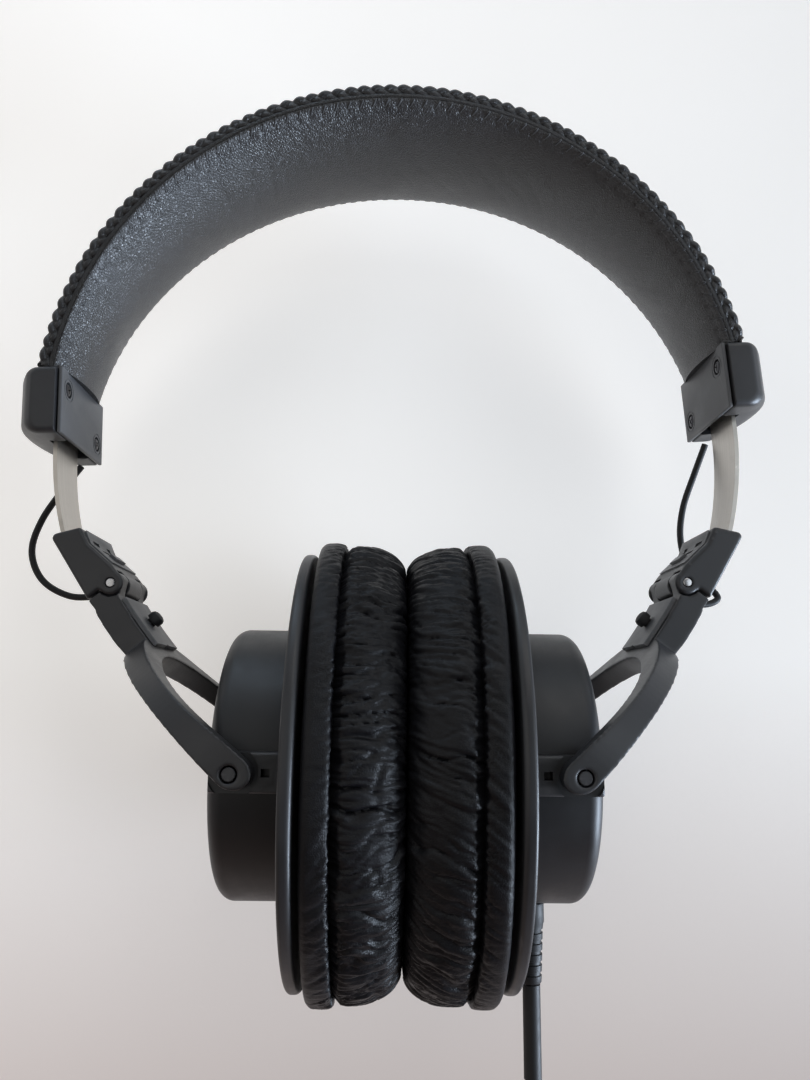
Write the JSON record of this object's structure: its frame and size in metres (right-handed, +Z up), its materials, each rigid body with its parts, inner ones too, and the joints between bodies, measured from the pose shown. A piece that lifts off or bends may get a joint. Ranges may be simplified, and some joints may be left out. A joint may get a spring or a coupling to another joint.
{
  "type": "over-ear headphones",
  "caption": "Closed over-ear headphones: braided leather headband, curved steel sliders, folding forked yokes and tilting cups with gathered oval ear pads.",
  "frame": {"origin": "the point where the padded underside of the headband crosses the plane in which the two ear pads meet, where it rests on a head", "axes": "+Z up, +X to the wearer's left (where the cord leaves), -Y to the front as drawn"},
  "size_m": [0.1769, 0.0838, 0.2192],
  "materials": {
    "band_leather": "black grained leather, semi-gloss",
    "braid_leather": "twisted black leather braid",
    "pad_leather": "gathered black leatherette, soft gloss",
    "satin_plastic": "satin black moulding",
    "grey_plastic": "dark grey fine-textured moulding",
    "housing_plastic": "satin black painted moulding",
    "black_rubber": "matt black",
    "strip_steel": "satin, brushed along its length",
    "spring_steel": "tempered",
    "pin_steel": "bright",
    "screw_steel": "black oxide",
    "magnet_metal": "plated",
    "film": "thin polymer film",
    "foam": "open-cell foam"
  },
  "bodies": {
    "headband": {"band_top_cover": "band_leather", "band_pad": "band_leather", "braid_front": "braid_leather", "braid_rear": "braid_leather", "band_spring": "spring_steel", "cap_shell_left": "satin_plastic", "cap_inner_plate_left": "grey_plastic", "cap_screw_upper_left": "screw_steel", "cap_screw_lower_left": "screw_steel", "detent_spring_left": "spring_steel", "signal_wire_left": "black_rubber", "cap_shell_right": "satin_plastic", "cap_inner_plate_right": "grey_plastic", "cap_screw_upper_right": "screw_steel", "cap_screw_lower_right": "screw_steel", "detent_spring_right": "spring_steel", "signal_wire_right": "black_rubber"},
    "slider_left": {"slider_strip_left": "strip_steel", "arm_block_left": "satin_plastic", "fold_pin_left": "pin_steel"},
    "yoke_left": {"yoke_left": "satin_plastic", "yoke_inner_cover_left": "grey_plastic", "bumper_knob_left": "black_rubber"},
    "cup_left": {"cup_housing_left": "housing_plastic", "cup_end_disc_left": "housing_plastic", "pivot_pin_front_left": "satin_plastic", "pivot_pin_rear_left": "satin_plastic", "front_plate_left": "satin_plastic", "foam_disc_left": "foam", "driver_grille_left": "satin_plastic", "diaphragm_left": "film", "driver_basket_left": "grey_plastic", "magnet_left": "magnet_metal", "ear_pad_left": "pad_leather"},
    "slider_right": {"slider_strip_right": "strip_steel", "arm_block_right": "satin_plastic", "fold_pin_right": "pin_steel"},
    "yoke_right": {"yoke_right": "satin_plastic", "yoke_inner_cover_right": "grey_plastic", "bumper_knob_right": "black_rubber"},
    "cup_right": {"cup_housing_right": "housing_plastic", "cup_end_disc_right": "housing_plastic", "pivot_pin_front_right": "satin_plastic", "pivot_pin_rear_right": "satin_plastic", "front_plate_right": "satin_plastic", "foam_disc_right": "foam", "driver_grille_right": "satin_plastic", "diaphragm_right": "film", "driver_basket_right": "grey_plastic", "magnet_right": "magnet_metal", "ear_pad_right": "pad_leather", "strain_relief": "black_rubber", "cord": "black_rubber"}
  },
  "joints": [
    {"name": "slider_left", "type": "hinge", "parent": "headband", "child": "slider_left", "pos_m": [-0.0021, 0, -0.07315], "axis": [0, 1, 0], "range_deg": [-1, 14], "deforming": ["signal_wire_left"]},
    {"name": "fold_left", "type": "hinge", "parent": "slider_left", "child": "yoke_left", "pos_m": [-0.06435, 0, -0.10859], "axis": [0, 1, 0], "range_deg": [-6, 0]},
    {"name": "tilt_left", "type": "hinge", "parent": "yoke_left", "child": "cup_left", "pos_m": [-0.03165, 0, -0.14615], "axis": [0, 1, 0], "range_deg": [-6.5, 6.5], "deforming": ["ear_pad_left"]},
    {"name": "slider_right", "type": "hinge", "parent": "headband", "child": "slider_right", "pos_m": [-0.0021, 0, -0.07315], "axis": [0, 1, 0], "range_deg": [-19, 0.8], "deforming": ["signal_wire_right"]},
    {"name": "fold_right", "type": "hinge", "parent": "slider_right", "child": "yoke_right", "pos_m": [0.0619, 0, -0.10659], "axis": [0, 1, 0], "range_deg": [0, 6]},
    {"name": "tilt_right", "type": "hinge", "parent": "yoke_right", "child": "cup_right", "pos_m": [0.03165, 0, -0.14615], "axis": [0, 1, 0], "range_deg": [-6.5, 6.5], "deforming": ["ear_pad_right"]}
  ]
}
